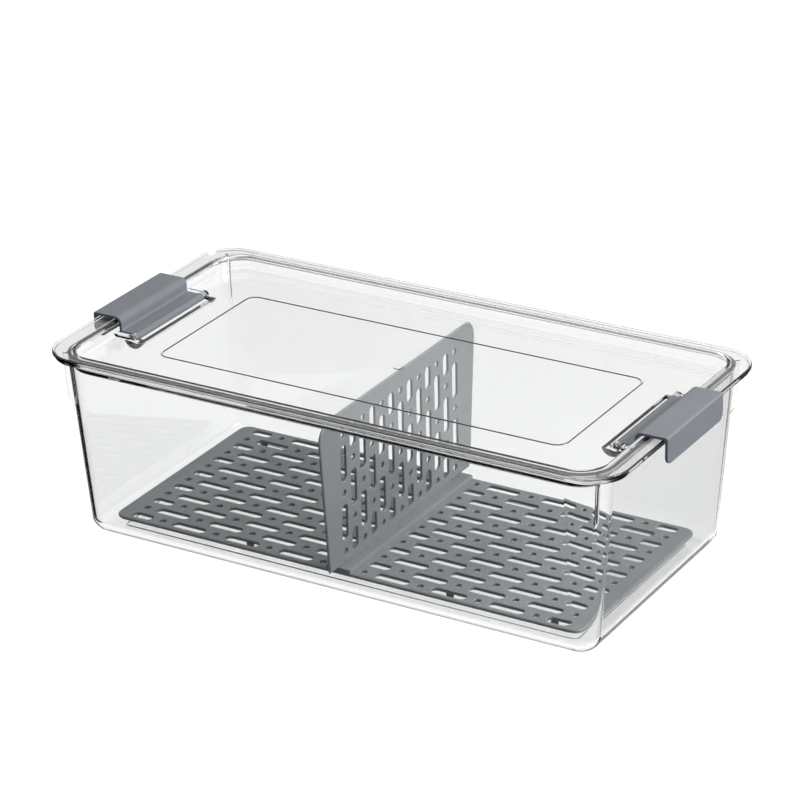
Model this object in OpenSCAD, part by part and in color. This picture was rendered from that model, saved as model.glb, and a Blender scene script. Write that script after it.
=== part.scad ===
// Clear food storage box: tapered tub, set-down lid with two hinged clips,
// perforated drain tray and a perforated divider that stands in the tray.
// Millimetres, +Z up, X along the length; the origin is the middle of the base.

/* [Lid] */
// Length of the lid over its flange
lid_len = 319.6; // [300:0.1:360]
// Width of the lid over its flange
lid_wid = 166; // [150:1:190]
// Radius of the flange corners, seen from above
lid_corner = 20; // [14:0.5:26]
// Thickness of the lid flange
lid_flange_t = 2; // [1.5:0.1:3]
// Rounding on the flange's upper outer edge
lid_edge_round = 0.8; // [0.4:0.1:1]
// Rounding on the flange's upper inner edge
lid_inner_round = 1.2; // [0.5:0.1:1.6]
// Thickness of the lid's set-down wall
lid_wall = 1.8; // [1.4:0.1:2.4]
// Thickness of the lid panel
panel_t = 2; // [1.5:0.1:3]
// Depth of the panel below the flange top
panel_drop = 7.2; // [5.6:0.1:9]
// Rounding where the panel meets the set-down wall
panel_fillet = 1.6; // [1:0.1:3]
// Gap between the set-down wall and the tub's mouth
plug_gap = 0.6; // [0.3:0.1:1.5]
// Length of the raised rectangle on the panel
frame_len = 230; // [150:1:240]
// Width of the raised rectangle on the panel
frame_wid = 88; // [50:0.5:110]
// Corner radius of the raised rectangle
frame_corner = 6.5; // [3:0.5:12]
// Width of the raised line
frame_line = 1; // [0.6:0.1:2]
// Height of the raised line
frame_rise = 0.5; // [0.3:0.1:1]
// Diameter of the moulding gate mark
gate_d = 5.5; // [3:0.5:8]
// Height of the gate mark
gate_rise = 0.4; // [0.2:0.1:0.8]

/* [Tub] */
// Height of the tub to the top of its rim
tub_h = 98.1; // [80:0.1:130]
// How far the lid flange reaches past the tub's mouth at each end
end_overhang = 7.8; // [5:0.1:12]
// How far the lid flange reaches past the tub's mouth on each long side
side_overhang = 3.3; // [2:0.1:6]
// Outer corner radius at the mouth
mouth_corner = 18.2; // [15:0.1:20]
// Slope of the walls from upright
draft = 4.6; // [2:0.1:5]
// Thickness of the walls
wall = 2; // [1.4:0.1:2.6]
// Thickness of the floor
floor_t = 2.4; // [1.8:0.1:4]
// Outer rounding of the bottom edge
base_round = 9; // [6:0.5:10]
// Thickness of the rim flange
rim_t = 2; // [1.5:0.1:3]
// How far the rim flange stays inside the lid flange
rim_inset = 1.2; // [0.8:0.1:2]
// How far the corner fins stand out from the wall
fin_reach = 2.6; // [1.6:0.1:4]
// Height of the corner fins
fin_h = 26; // [12:0.5:34]
// Thickness of the corner fins
fin_t = 1.4; // [1.2:0.1:2.5]
// Direction of the corner fins, turned from the length
fin_turn = 38; // [30:1:60]
// How far the moulded line under the base lies inside the flat of the base
base_line_in = 5.8; // [4:0.1:10]
// Width of the line under the base
base_line_w = 0.9; // [0.5:0.1:2]
// Depth of the line under the base
base_line_d = 0.5; // [0.3:0.1:0.8]
// Corner radius of the line under the base
base_line_corner = 3; // [2:0.5:8]

/* [Clips] */
// Length of each clip along the lid's end
clip_len = 59.6; // [40:0.2:80]
// Thickness of the clip's plates
clip_t = 1.5; // [1.2:0.1:2.4]
// Height of the outer lip
lip_h = 14; // [12:0.1:20]
// Clearance of the swinging lip from the flange's edge
swing_clear = 0.35; // [0.3:0.01:1.5]
// Gap under the clip's plates
clip_gap = 0.4; // [0.3:0.1:1]
// Gap between the clip's step and the set-down wall
step_gap = 0.4; // [0.3:0.1:1.5]
// Rounding over the outer edge
clip_outer_round = 1.2; // [0.8:0.1:4]
// Rounding over the inner step
clip_step_round = 3.5; // [2.5:0.1:4]
// Rounding under the inner step
clip_under_round = 2; // [1:0.1:2.2]
// Radius of the lip's lower corners
lip_corner = 4; // [2:0.5:6]
// Length of the low inner plate, from the step to the hinge axis
inner_plate_len = 10; // [8:0.1:16]

/* [Hinges] */
// Diameter of the clip's hinge barrel
barrel_d = 4; // [3.6:0.1:6]
// Height of the hinge axis above the panel
axis_rise = 0.2; // [0:0.1:1]
// Diameter of the hinge pins
pin_d = 2.4; // [1.8:0.1:2.6]
// Length of each pin
pin_len = 2.4; // [1.5:0.1:3]
// Radial running clearance of the pins in their bores
pin_clear = 0.06; // [0.03:0.01:0.1]
// Bore depth past the pin's end
bore_spare = 0.3; // [0.2:0.1:0.8]
// Gap between the barrel's ends and the ears
ear_gap = 0.4; // [0.3:0.1:1]
// Diameter of the ears round the pins
ear_d = 4.6; // [4:0.1:6]
// Thickness of the ears
ear_t = 3.6; // [3.3:0.1:5]
// Gap between the barrel and the trough's inner edge
trough_gap = 0.5; // [0.3:0.1:1]
// Distance from the hinge axis in to the middle of the trough
trough_shift = 1.3; // [0.6:0.1:2.4]
// Height of the ribs that tie the ears to the set-down wall
ear_rib_h = 1.6; // [1:0.1:2]

/* [Drain tray] */
// Gap between the tray and the edge of the flat floor
tray_gap = 2.4; // [1:0.1:6]
// Thickness of the tray plate
tray_t = 1.9; // [1.3:0.1:3.5]
// Height of the feet
foot_h = 4; // [2:0.1:8]
// Diameter of the feet
foot_d = 4; // [3:0.1:5]
// Corner radius of the tray
tray_corner = 6; // [3:0.5:12]
// Height of the rail above the tray plate
rail_h = 2; // [1.5:0.1:4]
// Width of the rail
rail_w = 14; // [10:0.5:18]
// Bevel along the rail's upper edges
rail_bevel = 0.6; // [0.3:0.1:1]
// Solid left under the rail's slot
slot_floor = 1; // [0.8:0.1:1.5]

/* [Divider] */
// Thickness of the divider plate
divider_t = 1.5; // [1.2:0.1:3]
// Gap between the divider and the tub's walls
divider_gap = 1; // [0.5:0.1:3]
// Gap between the divider and the lid panel
divider_head = 0.6; // [0.4:0.1:5]
// Radius of the divider's upper corners
divider_corner = 9.5; // [4:0.5:16]
// Length of the tongue that stands in the rail
tongue_len = 100; // [60:1:112]
// Clearance of the tongue in its slot, each side
tongue_clear = 0.15; // [0.1:0.05:0.3]

/* [Perforation] */
// Width of the slots
slot_w = 5.4; // [3:0.1:6]
// Length of the slots
slot_len = 19.5; // [12:0.5:20]
// Diameter of the round holes between the slots
dot_d = 3.6; // [2.5:0.1:4.5]
// Reach of a trimmed end slot past its own place
slot_end = 2.4; // [2:0.1:4]
// Least plain strip outside the tray's outer rows
tray_edge = 2; // [1:0.5:6]
// Least plain strip outside the divider's outer columns
divider_edge = 10; // [4:0.5:16]
// Spacing of the rows across the tray
tray_row_gap = 9.3; // [8:0.1:12]
// Spacing of the hole places along a tray row
tray_step = 15.9; // [14:0.1:20]
// First hole place out from the middle of the tray
tray_first = 11.6; // [10:0.1:16]
// Spacing of the columns across the divider
divider_row_gap = 9; // [8:0.1:10]
// Spacing of the hole places up a divider column
divider_step = 15.8; // [14:0.1:20]
// First hole place above the rail
divider_first = 6; // [5:0.1:12]

/* [Hidden] */
$fn = 48;
// Overlap of joined solids, and overrun of cuts
eps = 0.01;
over = 1;
// Least flat left inside a rounded bottom edge
least_flat = 0.2;

CLEAR = [0.93, 0.94, 0.94, 0.35];
CLIP_GREY = [0.53, 0.56, 0.59];
TRAY_GREY = [0.42, 0.44, 0.46];

// Wall line: distance gained outwards for each millimetre of height
slope = tan(draft);

// Heights
flange_top = tub_h + lid_flange_t;
panel_top = flange_top - panel_drop;
panel_low = panel_top - panel_t;
clip_low = flange_top + clip_gap;
clip_top = clip_low + clip_t;
plate_low = panel_top + clip_gap;
plate_top = plate_low + clip_t;
axis_z = panel_top + axis_rise;
tray_low = floor_t + foot_h;
tray_top = tray_low + tray_t;
rail_top = tray_top + rail_h;
tongue_low = tray_low + slot_floor;

// Mouth of the tub, under the lid flange
mouth_len = lid_len - 2 * end_overhang;
mouth_wid = lid_wid - 2 * side_overhang;

// The core rectangle that every drafted wall is swept round
core_x = mouth_len / 2 - mouth_corner;
core_y = mouth_wid / 2 - mouth_corner;

// Distance of the tub's outer and inner wall from the core at a height
function tub_out(z) = mouth_corner - (tub_h - z) * slope;
function tub_in(z) = tub_out(z) - wall / cos(draft);

// Distance of the lid's set-down wall from the core at a height
function plug_out(z) = tub_in(z) - plug_gap;
function plug_in(z) = plug_out(z) - lid_wall;

// Centre of a fillet of radius r that is tangent to the level z0 and to a
// drafted wall that is rz from the core at that level
function fillet_at(r, rz) = rz + r * slope - r / cos(draft);

// Largest such fillet that the wall leaves room for
function fillet_room(rz) = (rz - least_flat) / (1 / cos(draft) - slope);

// Roundings of the tub's bottom edge, and the flat part of its floor
outer_round = min(base_round, fillet_room(tub_out(0)));
inner_round = min(base_round - wall, fillet_room(tub_in(floor_t)));
floor_flat = fillet_at(inner_round, tub_in(floor_t));
base_flat = fillet_at(outer_round, tub_out(0));

// Clip places, measured on the right-hand end
step_out = core_x + plug_in(panel_top) - step_gap;
step_in = step_out - clip_t;
axis_x = step_out - inner_plate_len;
edge_swing = norm([lid_len / 2 - lid_edge_round - axis_x, flange_top - lid_edge_round - axis_z]);
lip_in = axis_x + edge_swing + lid_edge_round + swing_clear;
lip_out = lip_in + clip_t;
ear_in = clip_len / 2 + ear_gap;
trough_x = axis_x - trough_shift;
trough_r = barrel_d / 2 + trough_shift + trough_gap;

// Tray outline
tray_len = 2 * (core_x + floor_flat - tray_gap);
tray_wid = 2 * (core_y + floor_flat - tray_gap);
tray_places = floor((tray_len / 2 - tray_first - slot_end - slot_w / 2) / tray_step);
tray_rows = floor((tray_wid / 2 - slot_w / 2 - tray_edge) / tray_row_gap);

// Divider outline
divider_top = panel_low - divider_head;
divider_places = floor((divider_top - rail_top - divider_first - slot_end - slot_w / 2) / divider_step);
divider_y_low = core_y + tub_in(rail_top) - divider_gap;
divider_y_top = core_y + tub_in(divider_top) - divider_gap;
divider_columns = floor((divider_y_low - slot_w / 2 - divider_edge) / divider_row_gap);

// Outline of a solid between the core and a drafted wall, from z0 to z1, that
// is rz from the core at z0 before its lower edge is rounded
module drafted_profile(z0, z1, rz, round_r) {
    c = fillet_at(round_r, rz);
    polygon([
        [0, z0],
        [c, z0],
        [c, z0 + round_r],
        [c + round_r * cos(draft), z0 + round_r - round_r * sin(draft)],
        [rz + (z1 - z0) * slope, z1],
        [0, z1]
    ]);
    translate([c, z0 + round_r])
        intersection() {
            circle(r = round_r);
            translate([0, -round_r])
                square(round_r);
        }
}

// Sweeps a profile round a core rectangle of half sizes hx and hy, and fills the core
module around_core(z0, z1, hx = core_x, hy = core_y) {
    for (sx = [-1, 1], sy = [-1, 1])
        mirror([sx < 0 ? 1 : 0, 0, 0])
            mirror([0, sy < 0 ? 1 : 0, 0])
                translate([hx, hy, 0])
                    rotate_extrude(angle = 90)
                        children();
    for (s = [-1, 1]) {
        mirror([s < 0 ? 1 : 0, 0, 0])
            translate([hx, hy, 0])
                rotate([90, 0, 0])
                    linear_extrude(height = 2 * hy)
                        children();
        mirror([0, s < 0 ? 1 : 0, 0])
            translate([-hx, hy, 0])
                rotate([90, 0, 90])
                    linear_extrude(height = 2 * hx)
                        children();
    }
    translate([-hx, -hy, z0])
        cube([2 * hx, 2 * hy, z1 - z0]);
}

module drafted_solid(z0, z1, rz, round_r) {
    around_core(z0, z1)
        drafted_profile(z0, z1, rz, round_r);
}

// Flat outline with round corners, centred
module round_rect(l, w, r) {
    square([l - 2 * r, w], center = true);
    square([l, w - 2 * r], center = true);
    for (sx = [-1, 1], sy = [-1, 1])
        translate([sx * (l / 2 - r), sy * (w / 2 - r)])
            circle(r = r);
}

// Flat slot along X from x0 to x1, with round ends
module slot_2d(x0, x1, w) {
    translate([x0 + w / 2, -w / 2])
        square([x1 - x0 - w, w]);
    for (x = [x0 + w / 2, x1 - w / 2])
        translate([x, 0])
            circle(d = w);
}

// One line of holes from place 0 to place n: round holes and slots alternate,
// and a slot in the first or last place is trimmed on its outer side
module hole_line(n, first, step, slots_even) {
    for (k = [0:n]) {
        at = first + k * step;
        if ((k % 2 == 0) == slots_even)
            slot_2d(
                at - (k == 0 ? slot_end : slot_len / 2),
                at + (k == n ? slot_end : slot_len / 2),
                slot_w
            );
        else
            translate([at, 0])
                circle(d = dot_d);
    }
}

// Square corner less its inscribed quarter round, to be cut from an edge
module corner_cut(r) {
    difference() {
        translate([-over, -over])
            square(r + over);
        translate([r, r])
            circle(r = r);
    }
}

// Thin upright fin on a tub corner, in the corner's own frame
module corner_fin() {
    top = tub_h - rim_t;
    low = top - fin_h;
    r_top = tub_out(top);
    r_low = tub_out(low);
    bend = low + 1.5 * fin_reach;
    rotate([0, 0, fin_turn])
        translate([0, fin_t / 2, 0])
            rotate([90, 0, 0])
                linear_extrude(height = fin_t)
                    polygon([
                        [r_top - wall / 2, top + rim_t / 2],
                        [r_low - wall / 2, low],
                        [r_low, low],
                        [tub_out(bend) + fin_reach, bend],
                        [r_top + fin_reach, top + rim_t / 2]
                    ]);
}

// Line under the base, to be cut from the tub
module base_line() {
    len = 2 * (core_x + base_flat - base_line_in);
    wid = 2 * (core_y + base_flat - base_line_in);
    translate([0, 0, -over])
        linear_extrude(height = over + base_line_d)
            difference() {
                round_rect(len, wid, base_line_corner);
                round_rect(
                    len - 2 * base_line_w,
                    wid - 2 * base_line_w,
                    base_line_corner - base_line_w
                );
            }
}

module tub() {
    rim_len = lid_len - 2 * rim_inset;
    rim_wid = lid_wid - 2 * rim_inset;
    color(CLEAR)
        difference() {
            union() {
                drafted_solid(0, tub_h, tub_out(0), outer_round);
                translate([0, 0, tub_h - rim_t])
                    linear_extrude(height = rim_t)
                        round_rect(rim_len, rim_wid, lid_corner - rim_inset);
                for (sx = [-1, 1], sy = [-1, 1])
                    mirror([sx < 0 ? 1 : 0, 0, 0])
                        mirror([0, sy < 0 ? 1 : 0, 0])
                            translate([core_x, core_y, 0])
                                corner_fin();
            }
            drafted_solid(floor_t, tub_h + over, tub_in(floor_t), inner_round);
            base_line();
        }
}

// Lid flange before it is opened, its upper outer edge rounded along its whole run
module flange_plate() {
    r = lid_edge_round;
    c = [lid_corner - r, flange_top - r];
    around_core(tub_h, flange_top, lid_len / 2 - lid_corner, lid_wid / 2 - lid_corner) {
        polygon([
            [0, tub_h],
            [lid_corner, tub_h],
            [lid_corner, c.y],
            c,
            [c.x, flange_top],
            [0, flange_top]
        ]);
        translate(c)
            intersection() {
                circle(r = r);
                square(r);
            }
    }
}

// Space over the panel, inside the set-down wall and its rounded upper edge
module recess_cut() {
    r = lid_inner_round;
    c = plug_in(flange_top - r) + r / cos(draft);
    edge = [c - r * cos(draft), flange_top - r + r * sin(draft)];
    around_core(panel_top, flange_top + over) {
        drafted_profile(panel_top, edge.y, plug_in(panel_top), panel_fillet);
        difference() {
            polygon([
                [0, panel_top + panel_fillet],
                [c - 2 * r, panel_top + panel_fillet],
                edge,
                [c, flange_top],
                [c, flange_top + over],
                [0, flange_top + over]
            ]);
            translate([c, flange_top - r])
                circle(r = r);
        }
    }
}

// Half-round trough under one barrel, on the right-hand end
module trough_shell() {
    len = 2 * (ear_in + ear_t);
    translate([trough_x, 0, panel_top])
        rotate([90, 0, 0])
            linear_extrude(height = len, center = true)
                difference() {
                    circle(r = trough_r + panel_t);
                    translate([-2 * trough_r, 0])
                        square(4 * trough_r);
                }
}

module trough_cut() {
    translate([trough_x, 0, panel_top])
        rotate([90, 0, 0])
            cylinder(r = trough_r, h = 2 * ear_in, center = true);
}

module ears() {
    for (s = [-1, 1])
        translate([0, s * (ear_in + ear_t / 2), 0]) {
            translate([axis_x, 0, axis_z])
                rotate([90, 0, 0])
                    cylinder(d = ear_d, h = ear_t, center = true);
            translate([axis_x, -ear_t / 2, panel_low])
                cube([step_out + step_gap - axis_x + lid_wall / 2, ear_t, panel_t + ear_rib_h]);
        }
}

module pin_bores() {
    depth = pin_len - ear_gap + bore_spare;
    for (s = [-1, 1])
        translate([axis_x, s * (ear_in + (depth - over) / 2), axis_z])
            rotate([90, 0, 0])
                cylinder(r = pin_d / 2 + pin_clear, h = depth + over, center = true);
}

module lid() {
    color(CLEAR)
        difference() {
            union() {
                difference() {
                    union() {
                        flange_plate();
                        drafted_solid(panel_low, tub_h + eps, plug_out(panel_low), panel_fillet + lid_wall / 2);
                    }
                    recess_cut();
                }
                for (m = [0, 1])
                    mirror([m, 0, 0]) {
                        trough_shell();
                        ears();
                    }
                translate([0, 0, panel_top - eps])
                    linear_extrude(height = frame_rise + eps)
                        difference() {
                            round_rect(frame_len, frame_wid, frame_corner);
                            round_rect(
                                frame_len - 2 * frame_line,
                                frame_wid - 2 * frame_line,
                                frame_corner - frame_line
                            );
                        }
                translate([0, 0, panel_top - eps])
                    cylinder(d = gate_d, h = gate_rise + eps);
            }
            for (m = [0, 1])
                mirror([m, 0, 0]) {
                    trough_cut();
                    pin_bores();
                }
        }
}

// Section of the right-hand clip in X and Z
module clip_section() {
    difference() {
        union() {
            translate([step_in, clip_low])
                square([lip_out - step_in, clip_t]);
            translate([lip_in, clip_top - lip_h])
                square([clip_t, lip_h]);
            translate([step_in, plate_low])
                square([clip_t, clip_top - plate_low]);
            translate([axis_x, plate_low])
                square([step_out - axis_x, clip_t]);
        }
        translate([lip_out, clip_top])
            rotate(180)
                corner_cut(clip_outer_round);
        translate([step_in, clip_top])
            rotate(-90)
                corner_cut(clip_step_round);
    }
    translate([step_out, clip_low])
        rotate(-90)
            intersection() {
                corner_cut(clip_under_round);
                square(clip_under_round);
            }
    translate([axis_x, axis_z])
        circle(d = barrel_d);
}

// One clip with its barrel and pins, on the right-hand end
module clip() {
    difference() {
        rotate([90, 0, 0])
            linear_extrude(height = clip_len, center = true)
                clip_section();
        for (s = [-1, 1])
            mirror([0, s > 0 ? 1 : 0, 0])
                translate([lip_in - over, -clip_len / 2, clip_top - lip_h])
                    rotate([90, 0, 90])
                        linear_extrude(height = clip_t + 2 * over)
                            corner_cut(lip_corner);
    }
    translate([axis_x, 0, axis_z])
        rotate([90, 0, 0])
            cylinder(d = pin_d, h = clip_len + 2 * pin_len, center = true);
}

module clip_left() {
    color(CLIP_GREY)
        mirror([1, 0, 0])
            clip();
}

module clip_right() {
    color(CLIP_GREY)
        clip();
}

// Every hole in the tray, seen from above
module tray_holes() {
    for (side = [0, 1], i = [-tray_rows:tray_rows])
        mirror([side, 0])
            translate([0, i * tray_row_gap])
                hole_line(tray_places, tray_first, tray_step, abs(i) % 2 == 1);
}

// Rail with bevelled upper edges, across the tray's width
module tray_rail() {
    rotate([90, 0, 0])
        linear_extrude(height = tray_wid, center = true)
            polygon([
                [-rail_w / 2, tray_top - eps],
                [rail_w / 2, tray_top - eps],
                [rail_w / 2, rail_top - rail_bevel],
                [rail_w / 2 - rail_bevel, rail_top],
                [-rail_w / 2 + rail_bevel, rail_top],
                [-rail_w / 2, rail_top - rail_bevel]
            ]);
}

// Feet stand between the last two rows, under the plain strips
module tray_feet() {
    y = (tray_rows - 0.5) * tray_row_gap;
    x_out = tray_first + (tray_places - 0.5) * tray_step;
    for (sx = [-1, 1], sy = [-1, 1], x = [0, x_out / 2, x_out])
        if (x > 0 || sx > 0)
            translate([sx * x, sy * y, floor_t])
                cylinder(d = foot_d, h = foot_h + eps);
}

module drain_tray() {
    slot_l = tongue_len + 2 * tongue_clear;
    slot_b = divider_t + 2 * tongue_clear;
    color(TRAY_GREY)
        difference() {
            union() {
                translate([0, 0, tray_low])
                    linear_extrude(height = tray_t)
                        difference() {
                            round_rect(tray_len, tray_wid, tray_corner);
                            tray_holes();
                        }
                tray_rail();
                tray_feet();
            }
            translate([-slot_b / 2, -slot_l / 2, tongue_low])
                cube([slot_b, slot_l, rail_top]);
        }
}

// Divider outline in Y and Z, upper corners rounded, tongue below
module divider_outline() {
    r = divider_corner;
    yc = divider_y_top - r / cos(draft) - r * slope;
    difference() {
        polygon([
            [-divider_y_low, rail_top],
            [divider_y_low, rail_top],
            [divider_y_top, divider_top],
            [-divider_y_top, divider_top]
        ]);
        for (s = [-1, 1])
            mirror([s < 0 ? 1 : 0, 0])
                difference() {
                    translate([yc, divider_top - r])
                        square(2 * r);
                    translate([yc, divider_top - r])
                        circle(r = r);
                }
    }
    translate([-tongue_len / 2, tongue_low])
        square([tongue_len, rail_top - tongue_low + eps]);
}

module divider() {
    color(CLIP_GREY)
        rotate([90, 0, 90])
            linear_extrude(height = divider_t, center = true)
                difference() {
                    divider_outline();
                    for (i = [-divider_columns:divider_columns])
                        translate([i * divider_row_gap, rail_top])
                            rotate(90)
                                hole_line(divider_places, divider_first, divider_step, abs(i) % 2 == 1);
                }
}

tub();
lid();
clip_left();
clip_right();
drain_tray();
divider();
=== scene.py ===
# %% [markdown]
# A clear food storage box
#
# The box is a tapered clear tub with a set-down lid. Two grey clips hold the lid, and a perforated
# drain tray and a perforated divider stand inside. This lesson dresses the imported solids: it models each
# piece again with finer edges, gives it a procedural finish, and sets up a small white studio round it.

# %% Load the frame
import math

import bmesh
import bpy
from mathutils import Matrix, Quaternion, Vector


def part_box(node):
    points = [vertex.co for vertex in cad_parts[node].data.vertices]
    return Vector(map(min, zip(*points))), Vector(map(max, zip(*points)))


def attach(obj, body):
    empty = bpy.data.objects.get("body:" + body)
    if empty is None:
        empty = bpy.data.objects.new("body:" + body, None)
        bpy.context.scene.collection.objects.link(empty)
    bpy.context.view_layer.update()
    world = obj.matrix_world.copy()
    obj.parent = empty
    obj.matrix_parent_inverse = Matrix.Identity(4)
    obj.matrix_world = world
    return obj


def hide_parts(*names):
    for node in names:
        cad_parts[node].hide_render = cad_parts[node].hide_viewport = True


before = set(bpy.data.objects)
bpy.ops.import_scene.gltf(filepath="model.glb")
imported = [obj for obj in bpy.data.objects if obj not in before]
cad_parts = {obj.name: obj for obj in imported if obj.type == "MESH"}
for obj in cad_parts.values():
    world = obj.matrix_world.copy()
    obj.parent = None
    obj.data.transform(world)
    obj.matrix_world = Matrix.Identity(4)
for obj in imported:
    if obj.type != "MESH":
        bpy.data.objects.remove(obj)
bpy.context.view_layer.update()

# %% [markdown]
# Sizes
#
# Every size is in metres, in the same frame as the solids, so nothing has to be fitted by eye. The large
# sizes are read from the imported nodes. The walls of tub and lid lean outwards by one angle, and both are
# drawn as a distance from one core rectangle, which keeps the gap between them even all the way round.

# %% Read the large sizes and define the leaning walls
MM = 0.001
LEAN = math.radians(4.6)
SLOPE = math.tan(LEAN)

TUB_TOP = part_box("tub")[1].z
LID_HALF_X, LID_HALF_Y, LID_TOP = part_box("lid")[1]
LID_CORNER = 20 * MM
MOUTH_CORNER = 18.2 * MM
MOUTH_IN_X, MOUTH_IN_Y = 7.8 * MM, 3.3 * MM
CORE_X = LID_HALF_X - MOUTH_IN_X - MOUTH_CORNER
CORE_Y = LID_HALF_Y - MOUTH_IN_Y - MOUTH_CORNER
TUB_WALL = 2.0 * MM
LID_WALL = 1.8 * MM
PLUG_GAP = 0.6 * MM


def tub_outside(z):
    return MOUTH_CORNER - (TUB_TOP - z) * SLOPE


def tub_inside(z):
    return tub_outside(z) - TUB_WALL / math.cos(LEAN)


def plug_outside(z):
    return tub_inside(z) - PLUG_GAP


def plug_inside(z):
    return plug_outside(z) - LID_WALL


print("core rectangle:", round(CORE_X / MM, 2), "x", round(CORE_Y / MM, 2), "mm")

# %% [markdown]
# The camera
#
# The photograph was taken with a long lens from above the right-hand front corner, and the camera leaned a
# little to one side. Its angles and distance come from lining up the lid's corners and the base's edges, so
# the camera is placed by those numbers.

# %% Place the camera
AZIMUTH, ELEVATION, ROLL = math.radians(31.06), math.radians(24.38), math.radians(-1.29)
DISTANCE = 1674.6 * MM
AIM = Vector((0.3, 0.0, 75.3)) * MM
IMAGE_SIDE_PX = 800
FOCAL_PX = 3378.8
SENSOR_MM = 36.0

camera_data = bpy.data.cameras.new("camera")
camera_data.sensor_width = SENSOR_MM
camera_data.lens = FOCAL_PX / IMAGE_SIDE_PX * SENSOR_MM
camera_data.clip_start, camera_data.clip_end = 0.05, 50.0
camera = bpy.data.objects.new("camera", camera_data)
back = Vector((
    math.sin(AZIMUTH) * math.cos(ELEVATION),
    -math.cos(AZIMUTH) * math.cos(ELEVATION),
    math.sin(ELEVATION),
))
camera.location = AIM + back * DISTANCE
camera.rotation_mode = "QUATERNION"
camera.rotation_quaternion = (-back).to_track_quat("-Z", "Y") @ Quaternion((0, 0, 1), ROLL)
bpy.context.scene.collection.objects.link(camera)
bpy.context.scene.camera = camera
print("lens:", round(camera_data.lens, 1), "mm")

# %% [markdown]
# Helpers for modelling
#
# A moulded box is a stack of rounded rectangles: each level of its skin is one flat ring. A ring is made by
# bevelling the four corners of a plain rectangle, and neighbouring rings are bridged. That gives clean
# quads, which matter on clear plastic, because every fold in the mesh would show as a bent line behind it.

# %% Helpers that stack rounded rings
CORNER_STEPS = 20
APART = 10 * MM


def new_piece(name, bm):
    mesh = bpy.data.meshes.new(name)
    bm.to_mesh(mesh)
    bm.free()
    obj = bpy.data.objects.new(name, mesh)
    bpy.context.scene.collection.objects.link(obj)
    return obj


def rounded_ring(bm, half_x, half_y, corner, z, steps=CORNER_STEPS):
    old = set(bm.edges)
    place = Matrix.Translation((0, 0, z)) @ Matrix.Diagonal((half_x, half_y, 1, 1))
    made = bmesh.ops.create_grid(bm, x_segments=1, y_segments=1, size=1, matrix=place)
    bmesh.ops.bevel(
        bm, geom=made["verts"], offset=corner, offset_type="OFFSET", segments=steps,
        profile=0.5, affect="VERTICES", material=-1,
    )
    ring = [e for e in bm.edges if e not in old]
    faces = {f for e in ring for f in e.link_faces}
    bmesh.ops.delete(bm, geom=list(faces), context="FACES_ONLY")
    return ring


def skin_over(bm, levels):
    """Bridges the rings while they stand well apart, because flat rings can join twisted, then sets them."""
    rings = []
    for i, (half_x, half_y, corner, z) in enumerate(levels):
        rings.append(rounded_ring(bm, half_x, half_y, corner, i * APART))
    for lower, upper in zip(rings, rings[1:]):
        bmesh.ops.bridge_loops(bm, edges=lower + upper)
    for ring in (rings[0], rings[-1]):
        bmesh.ops.contextual_create(bm, geom=ring)
    for i, ring in enumerate(rings):
        verts = list({v for e in ring for v in e.verts})
        bmesh.ops.translate(bm, verts=verts, vec=(0, 0, levels[i][3] - i * APART))
    bmesh.ops.recalc_face_normals(bm, faces=bm.faces[:])


def core_level(reach, z):
    return CORE_X + reach, CORE_Y + reach, reach, z


def lower_fillet(radius, reach, z, steps):
    """Levels round the lower edge of a leaning wall that is reach from the core at height z."""
    middle = reach + radius * SLOPE - radius / math.cos(LEAN)
    turn = math.pi / 2 - LEAN
    angles = [-math.pi / 2 + turn * i / steps for i in range(steps + 1)]
    return [core_level(middle + radius * math.cos(a), z + radius + radius * math.sin(a)) for a in angles]


print("points on each ring:", 4 * (CORNER_STEPS + 1))

# %% Helpers that join and finish pieces
CLEAR_CREASE_DEG, GREY_CREASE_DEG = 40, 35
ML = 1e-6


def settle(obj):
    """Makes the result of the modifiers the piece's own mesh."""
    graph = bpy.context.evaluated_depsgraph_get()
    mesh = bpy.data.meshes.new_from_object(obj.evaluated_get(graph))
    obj.modifiers.clear()
    obj.data = mesh


def combine(obj, tool, operation):
    step = obj.modifiers.new(operation.lower(), "BOOLEAN")
    step.operation, step.solver, step.object = operation, "MANIFOLD", tool
    settle(obj)
    bpy.data.objects.remove(tool)


def smooth_faces(obj, crease_deg):
    obj.data.shade_smooth()
    obj.data.set_sharp_from_angle(angle=math.radians(crease_deg))
    even = obj.modifiers.new("even_normals", "WEIGHTED_NORMAL")
    even.keep_sharp = True


def show_solid(obj):
    bm = bmesh.new()
    bm.from_mesh(obj.data)
    gaps = sum(not e.is_manifold for e in bm.edges)
    volume = round(bm.calc_volume(signed=True) / ML, 2)
    print(obj.name, len(bm.faces), "faces,", gaps, "open edges,", volume, "ml")
    bm.free()


print("crease angles:", CLEAR_CREASE_DEG, "degrees on clear,", GREY_CREASE_DEG, "on grey pieces")

# %% [markdown]
# The tub
#
# The real tub is one injection moulding: a flat floor, a generous round at the bottom edge, thin leaning
# walls, and a flat rim that carries the lid. A shallow moulded line runs round under the floor. The tub is
# drawn as one closed skin, up the outside, over the rim and down the inside, because clear plastic only
# bends light properly when both faces of a wall are there. A hair of air is left between the rim and the
# lid, as there is in the real box.

# %% Make the tub's skin
FLOOR = 2.4 * MM
BASE_ROUND = 9 * MM
RIM = 2.0 * MM
RIM_INSET = 1.2 * MM
EDGE = 0.3 * MM
AIR_GAP = 0.08 * MM
ROUND_STEPS = 12
BASE_LINE_IN, BASE_LINE_CORNER = 5.8 * MM, 3 * MM
BASE_LINE_WIDTH, BASE_LINE_DEEP = 0.9 * MM, 0.5 * MM
BASE_LINE_SECTION = ((1, 0), (0.8, 1), (0.2, 1), (0, 0))


def rim_level(inset, z):
    far = RIM_INSET + inset
    return LID_HALF_X - far, LID_HALF_Y - far, LID_CORNER - far, z


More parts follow.
